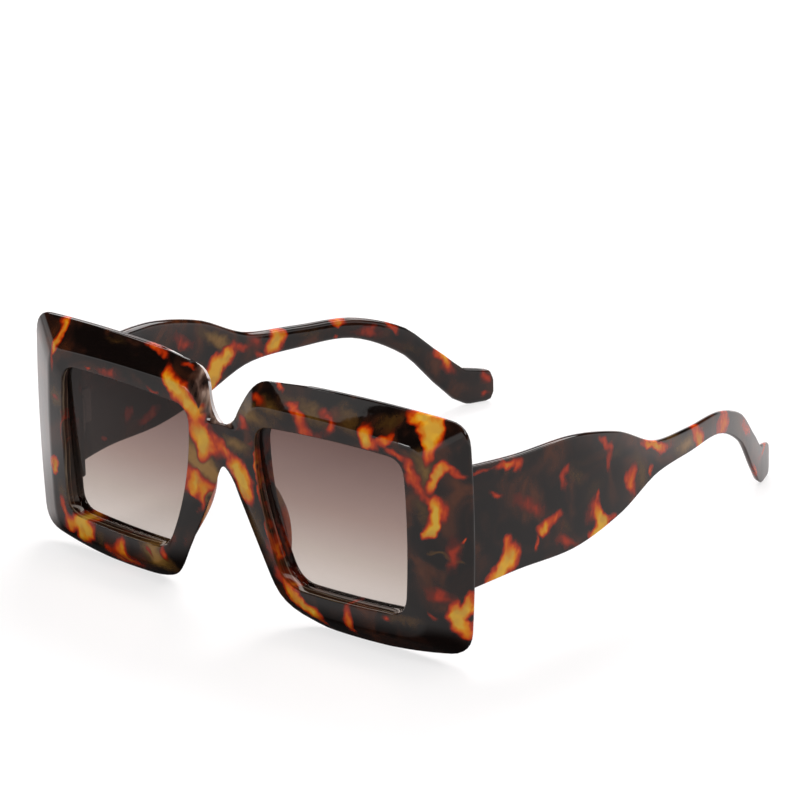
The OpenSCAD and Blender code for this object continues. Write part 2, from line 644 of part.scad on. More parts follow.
module temple(side) {
    color("sienna") placed() left_to_right(side) difference() {
        polyhedron(temple_points, temple_faces, convexity = 6);
        temple_leaf(leaf_gap);
    }
}

front_frame();
lens("left");  // lens_left
lens("right");  // lens_right
nose_pad("left");  // nose_pad_left
nose_pad("right");  // nose_pad_right
temple("left");  // temple_left
temple("right");  // temple_right
front_hinge("left");  // front_hinge_left
front_hinge("right");  // front_hinge_right
temple_hinge("left");  // temple_hinge_left
temple_hinge("right");  // temple_hinge_right
hinge_screw("left");  // hinge_screw_left
hinge_screw("right");  // hinge_screw_right
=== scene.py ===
"""Looks of the square tortoiseshell sunglasses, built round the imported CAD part."""
import math

import bpy
from mathutils import Matrix, Vector

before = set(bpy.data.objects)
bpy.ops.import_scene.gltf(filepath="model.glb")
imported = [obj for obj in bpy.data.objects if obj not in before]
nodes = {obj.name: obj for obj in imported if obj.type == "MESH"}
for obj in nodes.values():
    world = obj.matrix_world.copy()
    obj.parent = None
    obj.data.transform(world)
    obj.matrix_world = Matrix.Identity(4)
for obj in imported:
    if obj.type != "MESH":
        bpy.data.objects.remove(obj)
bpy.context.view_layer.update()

MM = 1000.0         # the patterns are laid out in millimetres
MARK_GROWTH = 2.25  # a patch fades out at this many times its listed half length and half width

# Patches of the tortoiseshell, placed one by one: across, up, half length, half width (mm),
# angle (degrees), kind ("a" amber flame, "o" olive cloud, "d" dark spot) and strength.
# On the front and the pads, across is X; on a temple it is Y.
FRONT_MARKS = [
    (16.6, 56.8, 4.4, 1.7, -14, "o", 0.9), (29, 58.6, 4.1, 1.3, -21, "o", 0.8),
    (40.2, 59.6, 4.1, 1.5, -23, "o", 0.8), (36.8, 61.7, 2.7, 0.9, -3, "a", 0.42),
    (-3.7, 34.3, 3.5, 1.7, -89, "o", 2), (-4.7, 30.3, 3.3, 0.9, 59, "o", 2),
    (7.4, 51.2, 2.5, 1.5, -28, "a", 0.42), (-1.1, 42.3, 3.4, 1.8, -4, "a", 0.48),
    (4.9, 45.1, 3.2, 1.5, -7, "o", 1.4), (-6.2, 30, 3.1, 1.3, 52, "a", 0.46),
    (-10.7, 41.2, 2.5, 1.9, 87, "o", 1.2), (64.6, 53.9, 2.2, 1.3, 85, "a", 0.5),
    (29.5, 52.9, 4.1, 1.3, 2, "a", 0.4), (-47.2, 59.8, 8.7, 1.8, -2, "d", 0.8),
    (-35.2, 59.2, 8.6, 1.8, -4, "d", 0.8), (34.3, 61.8, 6.1, 1.2, 2, "d", 0.8),
    (43.5, 62, 6, 1.2, 1, "d", 0.8), (5.7, 46.7, 2.3, 1, 39, "d", 0.7),
    (-30.5, 57.8, 8.4, 1.4, -17, "d", 0.8), (-4.9, 37.8, 3.2, 2.1, -77, "o", 1.6),
    (29.2, 56.9, 5.4, 1.6, -15, "o", 0.8), (40.8, 56.7, 3.5, 1.6, -17, "o", 0.7),
    (33.6, 58.3, 3.3, 1.1, -10, "a", 0.38), (12.5, 49.8, 1.1, 0.4, 56, "a", 0.38),
    (63.1, 40.3, 3.8, 1.9, -72, "o", 0.7), (70.1, 30, 4.7, 1.5, 84, "a", 0.38),
    (66.5, 18.7, 3.3, 1.9, -39, "a", 0.38), (21.2, 59.4, 2.5, 0.9, -10, "o", 0.7),
    (-39.5, 53.4, 5, 1.5, -1, "a", 0.39), (-58.5, 36.5, 6.5, 0.4, 88, "a", 0.38),
    (-60, 16.3, 2.8, 1.9, -55, "o", 0.8), (-17.3, 17.1, 4.4, 1.5, 66, "a", 0.39),
    (9.7, 24.2, 4.8, 2.8, -76, "o", 0.8), (15, 19.7, 3, 2.1, -65, "a", 0.38),
    (-17.6, 57.1, 2.8, 1.5, -42, "a", 0.8), (-15.1, 55.1, 3.2, 2.4, -35, "a", 0.8),
    (-12, 53.1, 3.4, 2.1, -29, "a", 0.8), (-9.2, 51.1, 2.7, 1.9, -44, "a", 0.8),
    (-8.7, 48, 2.7, 1.9, -80, "a", 0.48), (-8.5, 45, 2.7, 2, 88, "a", 0.48),
    (-6.8, 44.7, 2.4, 2, -62, "a", 0.95), (-6.4, 41.9, 3, 2, 81, "a", 0.95),
    (-10.5, 38.2, 3.6, 3.2, -82, "o", 1.6), (-10.9, 32.7, 3, 2.3, -22, "a", 0.66),
    (-8.3, 31.6, 2.9, 2.3, -24, "a", 0.66), (-7.7, 35.5, 3, 2.3, -22, "o", 1.7),
    (-10.4, 29.5, 2.9, 1.5, -6, "a", 0.6), (-13.4, 21.6, 4.7, 2.4, 70, "d", 1),
    (-8, 26.1, 3.5, 0.8, 59, "a", 0.5), (-10.5, 22, 3.2, 1, 59, "a", 0.5),
    (-14.2, 16, 2.6, 1.1, 71, "a", 0.66), (-3, 45, 2.8, 2.1, -45, "a", 0.47),
    (1, 43.3, 3.1, 1.5, -10, "a", 0.47), (4, 39.7, 2.3, 2.1, -46, "a", 0.85),
    (5.6, 37.7, 2.7, 2.4, -55, "a", 0.85), (6.9, 35.2, 2.7, 2.5, -72, "a", 0.85),
    (7.7, 32.4, 2.6, 1.9, -74, "a", 0.85), (7.4, 47.6, 2.8, 1.4, -38, "a", 0.4),
    (11.5, 57.8, 3.9, 1.2, -5, "a", 0.43), (8.6, 55.2, 3.9, 1.6, -14, "o", 1),
    (9.9, 52.7, 5.6, 1.7, 2, "o", 1.2), (23.8, 57.5, 3.2, 1.1, -26, "a", 0.49),
    (26.7, 55.4, 3, 1.7, -48, "a", 0.49), (16.9, 61.6, 2.1, 0.5, -25, "a", 0.5),
    (72.8, 16.2, 2.8, 1.1, 74, "a", 0.9), (71.6, 13.4, 2.8, 1.4, 58, "a", 0.9),
    (69.9, 13.9, 2.5, 1, -80, "a", 0.8), (71, 11.2, 2.4, 1.3, -55, "a", 0.8),
    (72.4, 9.2, 2, 1.2, -59, "a", 0.8), (35.8, 55.7, 1.9, 1.2, 69, "a", 0.49),
    (46.8, 56.1, 2.2, 1.6, 78, "a", 0.85), (47.7, 54.5, 2.5, 1.5, -17, "a", 0.85),
    (52.6, 56.3, 3, 1, 23, "a", 0.55), (55.4, 58, 2.1, 1.2, 43, "a", 0.55),
    (55.5, 53.4, 2.7, 1, -27, "a", 0.5), (59.8, 49.9, 2.7, 1.7, -54, "a", 0.52),
    (61.7, 47.1, 2.8, 1.7, -57, "a", 0.52), (59.4, 56.3, 3, 1.3, -40, "d", 1),
    (61.2, 61.6, 4.1, 1.6, -17, "a", 1), (64.1, 59.8, 3.1, 2.2, -55, "a", 1),
    (64.4, 57.1, 2.7, 1.7, 73, "a", 1), (65.6, 62.4, 0.9, 1, 24, "a", 0.75),
    (51, 59.6, 3.6, 1.7, 12, "o", 0.5), (54.1, 60.8, 2.9, 1.9, 33, "o", 0.5),
    (63.3, 51.6, 3.3, 2.5, -30, "o", 1), (64.4, 48.9, 3.3, 1.6, 79, "o", 1),
    (67.6, 51, 2.4, 1, 70, "a", 0.8), (66.3, 48.1, 2.6, 1, 65, "a", 0.8),
    (69.6, 50.8, 1.8, 1, -40, "a", 0.47), (71.2, 49.7, 1.5, 0.9, -22, "a", 0.47),
    (63.8, 44, 2.2, 0.9, -58, "a", 0.44), (68.5, 39.8, 2.6, 1.2, -83, "a", 0.5),
    (66.2, 40.7, 2.7, 1.2, 90, "a", 0.9), (65.8, 37.6, 2.9, 1.4, 78, "a", 0.9),
    (65.2, 35.4, 1.8, 1.1, 63, "a", 0.9), (68.9, 41.1, 2.4, 0.9, -68, "o", 0.6),
    (72.6, 33.7, 1, 0.5, 44, "a", 0.5), (67.1, 29, 2.1, 0.4, -9, "o", 0.9),
    (70.5, 28.2, 1.9, 0.4, -20, "o", 0.9), (70.7, 31.3, 2.1, 0.5, 44, "o", 0.6),
    (40.4, 8.9, 2.6, 1.2, -81, "a", 0.52), (40.5, 5.1, 3.1, 1.5, 84, "a", 0.52),
    (54.7, 10.1, 4.2, 1.4, 0, "o", 0.6), (59.7, 10.8, 3.3, 1.3, 20, "o", 0.6),
    (52.2, 9.7, 1.8, 0.9, -1, "a", 0.4), (65.8, 13.2, 1.7, 0.7, -60, "a", 0.39),
    (21.2, 9.6, 2.3, 1.8, -54, "a", 0.8), (23.4, 7.6, 2.3, 1.5, -31, "a", 0.8),
    (26.6, 6.2, 2.9, 1.3, -18, "a", 0.8), (29.6, 4.4, 2.3, 1.3, -47, "a", 0.8),
    (18.1, 12.9, 2.7, 2.2, -48, "a", 0.43), (11.3, 43.5, 4.7, 0.6, -89, "a", 0.62),
    (12, 35.8, 4.6, 0.6, -81, "a", 0.62), (15.2, 23.8, 4, 0.6, -71, "a", 0.5),
    (17.1, 18.8, 2.7, 0.4, -67, "a", 0.5), (-13.6, 61.3, 2.2, 0.6, -20, "a", 0.55),
    (-27.8, 62.2, 3.2, 0.6, -6, "a", 0.48), (-24, 61.6, 2.6, 0.8, -15, "a", 0.48),
    (-60.6, 61.1, 1.8, 1.6, -89, "a", 0.8), (-60.7, 58.6, 1.9, 1.4, 85, "a", 0.8),
    (-61.4, 56.1, 1.9, 1.1, 64, "a", 0.8), (-49.4, 62, 2.2, 0.4, -9, "a", 0.4),
    (-40.7, 61.5, 3.8, 0.8, 1, "o", 0.5), (-48.5, 53.5, 1.1, 0.6, -13, "a", 0.41),
    (-23.3, 53.3, 2.6, 0.9, -12, "a", 0.45), (-61.1, 42.4, 2.4, 2.2, -85, "o", 1),
    (-61.3, 42.6, 1.3, 0.8, 14, "a", 0.42), (-62.5, 51.8, 2.8, 0.9, 89, "a", 0.42),
    (-63.5, 23.5, 1.6, 1.5, -51, "a", 0.7), (-62.7, 21.9, 1.3, 1.1, -79, "a", 0.7),
    (-60, 13.3, 2.4, 1.4, -74, "a", 0.46), (-58.6, 10.2, 2.3, 1.4, -59, "a", 0.46),
    (-54.9, 9.2, 4.4, 1.6, 22, "a", 0.85), (-51.5, 9, 3.1, 2.8, -41, "a", 0.85),
    (-52, 6.4, 3.9, 1.4, 41, "a", 0.85), (-45.7, 7.2, 2.6, 2.2, -48, "o", 0.7),
    (-37.5, 7.6, 2.2, 1.6, -80, "a", 0.6), (-36.5, 5.1, 2.3, 1.7, -57, "a", 0.6),
    (-35.5, 2.8, 1.8, 4, -78, "a", 0.6), (-41.4, 3.2, 3.1, 3.1, -12, "a", 0.55),
    (-26.6, 8.9, 3.2, 2.7, -33, "o", 1.6), (-23.8, 7, 3.4, 2.9, -37, "o", 1.6),
    (-27.3, 8.5, 1.9, 1, -45, "a", 0.44), (-21.3, 9.2, 2.3, 1.1, -80, "a", 0.47),
    (-58.4, 42.1, 6, 0.4, 86, "o", 0.7), (-58.6, 29.8, 7.3, 0.4, -89, "o", 0.7),
]
LEFT_MARKS = [
    (-31.5, 38, 4.2, 1.8, -49, "o", 0.6), (9.6, 34.3, 5, 1.4, -8, "o", 0.8),
    (74.8, 9.7, 5.6, 1, 17, "a", 0.5), (57.3, 21.6, 5.3, 1.6, -43, "a", 0.47),
    (52.1, 23.8, 6.1, 2.2, -49, "o", 0.6), (-25.4, 27, 3.8, 2.3, 53, "a", 0.4),
    (-48.1, 35.1, 6.4, 2.1, -30, "a", 0.38), (-24.1, 31.9, 4.4, 3.1, 45, "o", 0.5),
    (-35.2, 20.9, 5, 1.6, -36, "a", 0.38), (-15, 38.7, 3.6, 1.8, 11, "o", 0.5),
    (7.6, 33.1, 4.8, 1.5, -3, "a", 0.38), (-57.1, 47.7, 2.9, 1.2, -7, "a", 0.5),
    (-53.7, 47.4, 2.8, 1.2, -2, "a", 0.5), (-51.9, 45.8, 1.3, 1.1, 76, "a", 0.46),
    (-63.7, 47.8, 2.6, 0.8, 9, "a", 0.42), (-59.5, 40.9, 2.6, 1, -19, "a", 0.42),
    (-55.8, 27.5, 1.9, 1.4, 81, "a", 0.55), (-55.1, 23.1, 2.7, 2.3, 75, "a", 0.95),
    (-56.9, 21, 3.3, 2.4, 27, "a", 0.95), (-59.9, 19.5, 2.9, 1.8, 27, "a", 0.95),
    (-43.2, 27.6, 2.5, 1.7, 24, "a", 0.85), (-38.8, 29.1, 2.3, 1.3, 18, "a", 0.5),
    (-46.4, 23.9, 1.6, 0.7, -82, "a", 0.47), (-34.5, 25.5, 2.6, 1.6, -66, "o", 0.5),
    (-21.8, 24.2, 2.9, 1.4, -61, "a", 0.95), (-21.6, 21.7, 2.3, 2.4, 59, "a", 0.95),
    (-23.8, 20.7, 2.5, 1.1, 1, "a", 0.95), (-17.9, 23.1, 2.1, 1, -3, "a", 0.5),
    (-22.4, 29.7, 2.1, 0.8, 83, "a", 0.4), (-19.6, 43.2, 3.6, 1.1, -48, "a", 0.48),
    (-18, 37.8, 2.9, 1.3, 79, "a", 0.38), (-35, 40.5, 2.3, 1.6, 51, "a", 0.42),
    (-35.8, 37.8, 2.3, 1.2, -84, "a", 0.42), (-29.1, 40.8, 4.2, 1.2, -27, "o", 0.4),
    (-9.2, 31.5, 2.6, 2.1, 82, "a", 0.55), (-8.3, 28.2, 3.3, 1.5, -57, "a", 0.55),
    (-5.4, 32.6, 4.2, 2, -56, "o", 0.8), (-3.3, 29, 3.1, 2.1, -66, "o", 0.8),
    (0.4, 30, 1.5, 1, -75, "a", 0.47), (1.9, 36.1, 4.9, 1.3, -25, "a", 0.8),
    (18.6, 30.8, 5, 1.9, -2, "o", 1.6), (24.3, 31.4, 3.7, 2, -56, "a", 0.62),
    (25.8, 29, 1.9, 2.1, -65, "a", 0.62), (40.7, 28.7, 3.6, 3, 28, "a", 0.75),
    (66.8, 6, 4.4, 1, -50, "a", 0.44),
]
RIGHT_MARKS = [
    (-20.9, 39.9, 5.3, 2, -28, "a", 0.38), (23.9, 31.1, 4.6, 1.6, -7, "o", 0.5),
    (43.2, 28.1, 4.3, 1.7, -18, "a", 0.38), (56.7, 20.2, 4, 1.7, -36, "o", 0.5),
    (5.3, 33.8, 3.5, 1.6, -46, "a", 0.38), (-4.7, 31.9, 3, 2.2, 22, "a", 0.95),
    (-7.5, 30.7, 3.6, 2.7, 22, "a", 0.95), (-10.2, 28.7, 3.3, 2.5, 50, "a", 0.95),
    (-11.7, 25.6, 2.7, 1.7, 81, "a", 0.95), (-10.3, 38.6, 4.4, 1.4, -34, "o", 1.3),
    (-5.8, 35.8, 4.3, 1.6, -30, "o", 1.3), (0.3, 33.8, 3.1, 1.1, -22, "a", 0.46),
    (12.8, 32.5, 2.6, 2.4, 61, "a", 0.95), (11.5, 30.6, 2.4, 2.2, 49, "a", 0.95),
    (6.6, 29.6, 2.3, 0.8, -38, "a", 0.48), (33.5, 32.9, 2.4, 0.8, -7, "a", 0.7),
    (32.8, 28.8, 1, 0.9, -12, "a", 0.4), (50.9, 27.5, 2.2, 0.9, -39, "a", 0.55),
    (65.1, 16.7, 2.2, 1.2, -56, "a", 0.7), (66.8, 14.6, 2.2, 1, -46, "a", 0.7),
    (67.5, 12.1, 3.9, 1.6, -46, "a", 0.42), (78.2, 7.8, 2.1, 1.2, -80, "a", 0.42),
    (78.1, 2.4, 1.2, 1.2, -10, "a", 0.4), (-43.1, 25.6, 2.2, 1.7, 69, "a", 0.46),
    (-33.1, 23.6, 2.9, 1.6, 22, "a", 0.45), (-36.8, 22.9, 3.3, 1.3, -1, "a", 0.45),
    (-53.7, 22.4, 1.3, 0.8, -17, "a", 0.44),
]
PAD_MARKS = [
    (13.2, 21, 8, 3.8, 65, "a", 0.62), (-13.2, 22, 8, 3.8, 115, "a", 0.8), (10, 31, 4, 2.6, 70, "o", 1.2),
    (-10.5, 31, 6, 3.2, 110, "a", 0.6), (12, 27, 6, 3, 65, "o", 1.7), (-11, 26.5, 5, 3, 115, "o", 1.9),
]


# Colours

def linear(r, g, b):
    """An sRGB colour of 0 to 255 as linear values."""
    return tuple((c / 255 / 12.92) if c <= 10 else ((c / 255 + 0.055) / 1.055) ** 2.4 for c in (r, g, b))


def stops(*rows):
    """Stops of a colour ramp, from rows of place, red, green and blue."""
    return [(place, linear(*color)) for place, *color in rows]


GROUND = stops((0.0, 12, 7, 6), (0.42, 17, 10, 8), (0.5, 32, 17, 12), (0.58, 52, 26, 15), (0.7, 78, 38, 18),
               (1.0, 104, 52, 22))
OLIVE = stops((0.1, 46, 27, 12), (0.4, 74, 50, 20), (0.6, 106, 76, 32), (0.9, 152, 112, 54))
AMBER = stops((0.0, 22, 11, 8), (0.16, 48, 15, 8), (0.3, 110, 27, 8), (0.44, 182, 48, 9), (0.56, 222, 82, 13),
              (0.67, 242, 124, 18), (0.82, 255, 166, 26), (1.0, 255, 204, 70))
TAN = (*linear(214, 156, 74), 1.0)
PAD_VEIL = (*linear(196, 158, 132), 1.0)
# Lines along the openings' walls: brown and dark lines, and pale lines that are painted highlights
OPENING_WALL_AND_HIGHLIGHTS = stops((0.0, 74, 50, 26), (0.16, 92, 64, 32), (0.24, 26, 15, 10), (0.3, 96, 74, 46),
                     (0.36, 30, 17, 11), (0.5, 70, 42, 20), (0.56, 20, 12, 9), (0.66, 150, 132, 112),
                     (0.7, 24, 14, 10), (0.86, 44, 27, 17), (0.92, 120, 104, 90), (0.95, 14, 9, 7))
# Painted reflection on a wall of the notch: dark streaks and a pale reflection
NOTCH_REFLECTION = stops((0.34, 34, 24, 20), (0.46, 74, 53, 45), (0.56, 122, 96, 84), (0.68, 176, 150, 134))
# Light that the lens lets through, from its bottom to its top, in linear values
LENS_TINT = [(0.0, (0.79, 0.755, 0.73)), (0.13, (0.747, 0.704, 0.676)), (0.26, (0.674, 0.624, 0.59)),
             (0.54, (0.537, 0.456, 0.429)), (0.8, (0.43, 0.349, 0.331)), (1.0, (0.345, 0.262, 0.245))]


# Shader building blocks

class Tree:
    """A node tree with short calls for the nodes used here."""

    def __init__(self, tree):
        self.tree = tree
        tree.nodes.clear()

    def add(self, kind, inputs=None, **settings):
        node = self.tree.nodes.new(kind)
        for key, value in settings.items():
            setattr(node, key, value)
        for key, value in (inputs or {}).items():
            if isinstance(value, bpy.types.NodeSocket):
                self.tree.links.new(value, node.inputs[key])
            else:
                node.inputs[key].default_value = value
        return node

    def math(self, operation, a, b=0.0, c=0.0, clamp=False):
        node = self.add("ShaderNodeMath", {0: a, 1: b, 2: c}, operation=operation, use_clamp=clamp)
        return node.outputs[0]

    def times(self, a, b):
        return self.math("MULTIPLY", a, b)

    def plus(self, a, b):
        return self.math("ADD", a, b)

    def minus(self, a, b):
        return self.math("SUBTRACT", a, b)

    def larger(self, a, b):
        return self.math("MAXIMUM", a, b)

    def vec(self, operation, a, b):
        return self.add("ShaderNodeVectorMath", {0: a, 1: b}, operation=operation).outputs[0]

    def scaled(self, vector, factor):
        return self.add("ShaderNodeVectorMath", {0: vector, "Scale": factor}, operation="SCALE").outputs[0]

    def centred(self, color):
        """A noise colour as a vector that swings round zero."""
        return self.vec("SUBTRACT", color, (0.5, 0.5, 0.5))

    def split(self, vector):
        return self.add("ShaderNodeSeparateXYZ", {0: vector}).outputs

    def place_mm(self):
        """The object's own coordinates in millimetres."""
        return self.scaled(self.add("ShaderNodeTexCoord").outputs["Object"], MM)

    def mapped(self, vector, **inputs):
        return self.add("ShaderNodeMapping", {"Vector": vector, **inputs}).outputs[0]

    def span(self, value, start, end, first=0.0, last=1.0, smooth=True):
        """The value's way from start to end, turned into the way from first to last."""
        node = self.add("ShaderNodeMapRange", {"Value": value, "From Min": start, "From Max": end,
                                               "To Min": first, "To Max": last},
                        interpolation_type="SMOOTHSTEP" if smooth else "LINEAR")
        return node.outputs["Result"]

    def noise(self, vector, scale, detail, rough, distortion=0.0, output="Fac"):
        node = self.add("ShaderNodeTexNoise", {"Vector": vector, "Scale": scale, "Detail": detail,
                                               "Roughness": rough, "Distortion": distortion})
        return node.outputs[output]

    def ramp(self, value, rows):
        node = self.add("ShaderNodeValToRGB", {"Fac": value})
        points = node.color_ramp.elements
        while len(points) < len(rows):
            points.new(0.5)
        for point, (place, color) in zip(points, rows):
            point.position = place
            point.color = (*color, 1.0)
        return node.outputs["Color"]

    def mix(self, factor, a, b):
        return self.add("ShaderNodeMix", {0: factor, 6: a, 7: b}, data_type="RGBA").outputs[2]

    def blend(self, factor, a, b):
        """A shader between the shaders a and b."""
        return self.add("ShaderNodeMixShader", {0: factor, 1: a.outputs[0], 2: b.outputs[0]})


def new_material(name):
    material = bpy.data.materials.new(name)
    material.use_nodes = True
    return material, Tree(material.node_tree)


def finish_material(material, t, shader):
    t.add("ShaderNodeOutputMaterial", {"Surface": shader.outputs[0]})
    return material


# Tortoiseshell acetate

# Limits of the openings' walls on the front: mm from the middle, and mm above the table
INNER_WALL_END, OUTER_WALL_START = 26.0, 48.0
SILL_END, HEAD_START = 16.0, 46.0
WALL_TURN = (0.45, 0.7)               # a face becomes a wall while its normal turns from one to the other
WALL_DEPTH = (-81.2, -76.2)           # Y at which the lines on the walls start and end, in mm
WALL_WAVER = 1.1                      # the lines waver by up to half of this, in mm
WALL_COVER = (0.35, 0.6, 0.75, 0.35)  # the lines cover less where the ground has clouds

# The notch above the bridge, where a reflection is painted: each pair says where its paint starts and where
# it is full
NOTCH_TURN = (0.14, 0.32)
NOTCH_SIDE = (-1.0, -2.5)
NOTCH_FLOOR_TURN = (0.35, 0.6)
NOTCH_FLOOR_HALF = (6.0, 4.0)
NOTCH_RISE = (47.6, 49.4)
NOTCH_HALF = (13.0, 11.5)

# Ranges of two say where a share starts and is full; the other two of a range of four are its ends
COARSE_WARP, FINE_WARP = 3.6, 2.0     # the patches' edges wander by up to half of these, in mm
DARK_ON_GROUND, DARK_ON_AMBER = 0.3, 1.2
OLIVE_GRAIN = (0.0, 0.5, 0.0, 0.5)    # the grain shows in the olive clouds only
OLIVE_EDGE = (0.15, 0.75)
AMBER_EDGE = (0.12, 0.4)
AMBER_MOTTLE = (0.1, 0.8, 0.05, 0.95)
TAN_SHARE = (0.45, 0.85, 0.0, 0.45)
TAN_PATCH = (0.44, 0.7)
GLOW_SHARE = (0.2, 0.8, 0.0, 0.3)     # light that comes through the amber
POLISH = (0.3, 0.7, 0.03, 0.06)       # roughness over the grain
PLASTIC_IOR = 1.5


def flames(t, place, marks):
    """Fields from the listed patches: amber, olive and dark. Patches that overlap flow together."""
    fields = {"a": 0.0, "o": 0.0, "d": 0.0}
    for u, v, long, wide, angle, kind, strength in marks:
        at = t.add("ShaderNodeMapping", {"Vector": place, "Location": (u, v, 0.0),
                                         "Rotation": (0.0, 0.0, math.radians(angle)),
                                         "Scale": (long * MARK_GROWTH, wide * MARK_GROWTH, 1.0)},
                   vector_type="TEXTURE")
        ball = t.add("ShaderNodeTexGradient", {"Vector": at.outputs[0]}, gradient_type="SPHERICAL")
        soft = t.span(ball.outputs["Fac"], 0.0, 1.0, 0.0, strength)
        fields[kind] = t.math("MULTIPLY_ADD", soft, soft, fields[kind])
    return [t.math("SQRT", fields[kind]) for kind in "aod"]


def ground_color(t, cloud, grain, olive, dark):
    """Between the amber patches: a dark ground with faint clouds, and olive clouds where they are placed."""
    ground = t.ramp(t.minus(cloud, t.times(dark, DARK_ON_GROUND)), GROUND)
    cast = t.plus(olive, t.times(t.minus(grain, 0.5), t.span(olive, *OLIVE_GRAIN)))
    return t.mix(t.span(cast, *OLIVE_EDGE), ground, t.ramp(t.times(cast, 0.5), OLIVE))


def amber_heat(t, bent, amber, dark):
    """How hot the amber is, mottled by a noise that is stretched aslant."""
    flow = t.noise(t.mapped(bent, Rotation=(0.0, 0.6, 0.4), Scale=(1.0, 1.0, 0.4)),
                   scale=0.36, detail=2.0, rough=0.5)
    mottle = t.times(t.minus(flow, 0.5), t.span(amber, *AMBER_MOTTLE))
    return t.math("SUBTRACT", t.plus(amber, mottle), t.times(dark, DARK_ON_AMBER), clamp=True)


def amber_color(t, bent, heat):
    """From dark red through orange to yellow. Some of it turns to tan."""
    patchy = t.noise(bent, scale=0.24, detail=1.0, rough=0.5)
    tan = t.times(t.span(heat, *TAN_SHARE), t.span(patchy, *TAN_PATCH))
    return t.mix(tan, t.ramp(heat, AMBER), TAN)


def opening_walls_with_highlights(t, place, where, facing, out):
    """The walls of the two openings, as a mask and a colour in thin lines along the wall: brown and dark
    lines, and pale lines that are painted highlights.
    """
    start, end = WALL_TURN
    lean = t.times(facing[0], t.math("SIGN", where[0]))
    inner = t.times(t.span(lean, start, end), t.math("LESS_THAN", out, INNER_WALL_END))
    outer = t.times(t.span(lean, -end, -start, 1.0, 0.0), t.math("GREATER_THAN", out, OUTER_WALL_START))
    sill = t.times(t.span(facing[2], start, end), t.math("LESS_THAN", where[2], SILL_END))
    head = t.times(t.span(facing[2], -end, -start, 1.0, 0.0), t.math("GREATER_THAN", where[2], HEAD_START))
    mask = t.larger(t.larger(inner, outer), t.larger(sill, head))
    wave = t.noise(place, scale=0.08, detail=2.0, rough=0.5)
    depth = t.plus(where[1], t.times(t.minus(wave, 0.5), WALL_WAVER))
    return mask, t.ramp(t.span(depth, *WALL_DEPTH, smooth=False), OPENING_WALL_AND_HIGHLIGHTS)


def front_walls_with_painted_light(t, color, place, drift, cloud):
    """The front's colour, with lines and painted highlights on the walls of its openings, and a painted
    reflection on the notch.
    """
    where = t.split(place)
    facing = t.split(t.add("ShaderNodeNewGeometry").outputs["Normal"])
    out = t.math("ABSOLUTE", where[0])
    mask, lines = opening_walls_with_highlights(t, place, where, facing, out)
    color = t.mix(t.times(mask, t.span(cloud, *WALL_COVER)), color, lines)
    # One wall of the notch above the bridge is painted pale as a painted reflection, with dark streaks down
    # it
    reflection_streaks = t.noise(t.mapped(drift, Scale=(1.0, 1.0, 0.25)), scale=0.42, detail=2.0, rough=0.5)
    reflection_wall = t.times(t.span(facing[0], *NOTCH_TURN), t.span(where[0], *NOTCH_SIDE))
    reflection_floor = t.times(t.span(facing[2], *NOTCH_FLOOR_TURN), t.span(out, *NOTCH_FLOOR_HALF))
    # Mask of the painted reflection, on the notch's wall and on part of its floor
    clear = t.times(t.larger(reflection_wall, reflection_floor),
                    t.times(t.span(where[2], *NOTCH_RISE), t.span(out, *NOTCH_HALF)))
    return t.mix(clear, color, t.ramp(reflection_streaks, NOTCH_REFLECTION))


def shell(name, flat, marks, shift, veil=0.0, front=False):
    """Polished tortoiseshell acetate. flat names the two axes in which the patches lie."""
    material, t = new_material(name)
    place = t.place_mm()
    drift = t.vec("ADD", place, shift)
    coarse = t.noise(drift, scale=0.13, detail=1.0, rough=0.4, output="Color")
    fine = t.noise(drift, scale=0.42, detail=1.0, rough=0.4, output="Color")
    warp = t.vec("ADD", t.scaled(t.centred(coarse), COARSE_WARP), t.scaled(t.centred(fine), FINE_WARP))
    bent = t.vec("ADD", place, warp)
    axes = t.split(bent)
    across, up = (axes["XYZ".index(axis)] for axis in flat)
    plane = t.add("ShaderNodeCombineXYZ", {0: across, 1: up}).outputs[0]
    amber, olive, dark = flames(t, plane, marks)
    cloud = t.noise(drift, scale=0.1, detail=2.0, rough=0.5, distortion=0.8)
    grain = t.noise(bent, scale=0.9, detail=2.0, rough=0.6)
    heat = amber_heat(t, bent, amber, dark)
    color = t.mix(t.span(heat, *AMBER_EDGE), ground_color(t, cloud, grain, olive, dark),
                  amber_color(t, bent, heat))
    if veil:
        color = t.mix(veil, color, PAD_VEIL)
    if front:
        color = front_walls_with_painted_light(t, color, place, drift, cloud)
    swell = t.noise(drift, scale=0.22, detail=2.0, rough=0.5)
    bump = t.add("ShaderNodeBump", {"Strength": 0.05, "Distance": 0.0004, "Height": swell})
    gloss = t.add("ShaderNodeBsdfPrincipled", {"Base Color": color, "Roughness": t.span(grain, *POLISH),
                                               "IOR": PLASTIC_IOR, "Normal": bump.outputs[0]})
    glowing = t.add("ShaderNodeBsdfTranslucent", {"Color": color})
    return finish_material(material, t, t.blend(t.span(heat, *GLOW_SHARE), gloss, glowing))


# Lenses and steel

LENS_HEIGHT = (8.0, 54.0)  # the tint changes between these, in mm above the table
LENS_SHINE = 0.5           # share of the full reflection, for a coated lens


def tinted_lens():
    """Brown-grey lens, darker towards the top."""
    material, t = new_material("lens_tint")
    height = t.split(t.place_mm())[2]
    clear = t.add("ShaderNodeBsdfTransparent",
                  {"Color": t.ramp(t.span(height, *LENS_HEIGHT, smooth=False), LENS_TINT)})
    shine = t.add("ShaderNodeBsdfGlossy", {"Color": (1.0, 1.0, 1.0, 1.0), "Roughness": 0.02})
    behind = t.add("ShaderNodeNewGeometry").outputs["Backfacing"]
    ior = t.span(behind, 0.0, 1.0, PLASTIC_IOR, 1 / PLASTIC_IOR, smooth=False)
    edge = t.add("ShaderNodeFresnel", {"IOR": ior}).outputs[0]
    return finish_material(material, t, t.blend(t.times(edge, LENS_SHINE), clear, shine))


